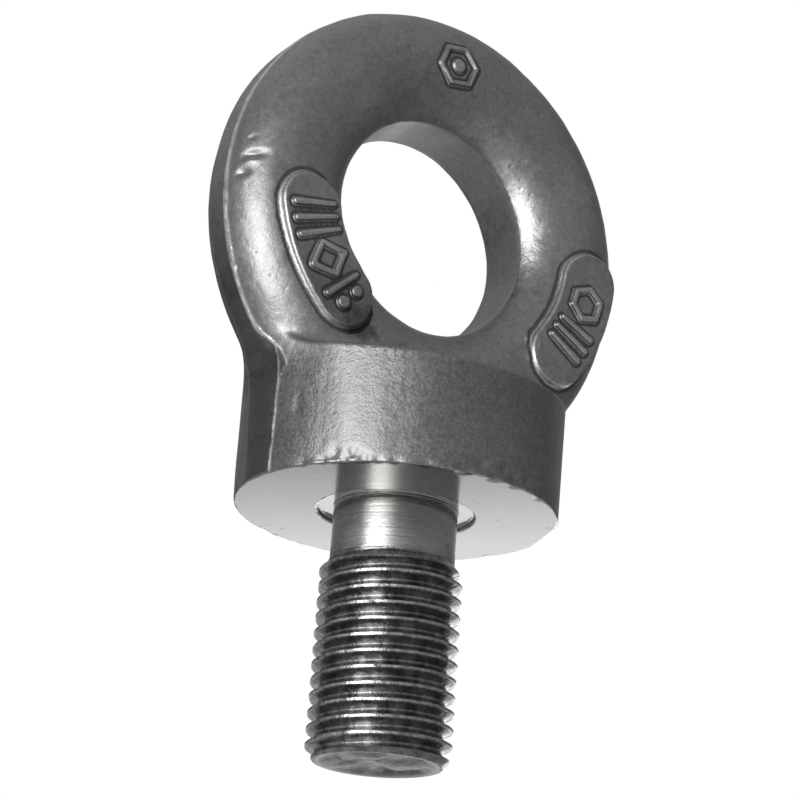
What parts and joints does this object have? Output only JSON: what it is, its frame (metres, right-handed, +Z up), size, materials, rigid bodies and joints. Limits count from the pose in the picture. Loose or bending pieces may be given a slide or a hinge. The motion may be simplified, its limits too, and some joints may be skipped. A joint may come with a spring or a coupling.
{
  "type": "eye bolt",
  "caption": "Drop-forged lifting eye bolt: an upright ring on a round collar with a ground seat, a plain neck and a coarse-threaded shank.",
  "frame": {"origin": "centre of the shank's flat end face, the lowest point of the part", "axes": "+Z up along the shank through the ring, the ring stands in the XZ plane with its hole along Y, and the ring's face with the raised marking pads looks towards -Y"},
  "size_m": [0.1178, 0.083, 0.2019],
  "materials": {
    "forged_steel": "matte",
    "machined_steel": "satin"
  },
  "bodies": {
    "root": {"forged_eye_bolt": "forged_steel"}
  },
  "joints": []
}
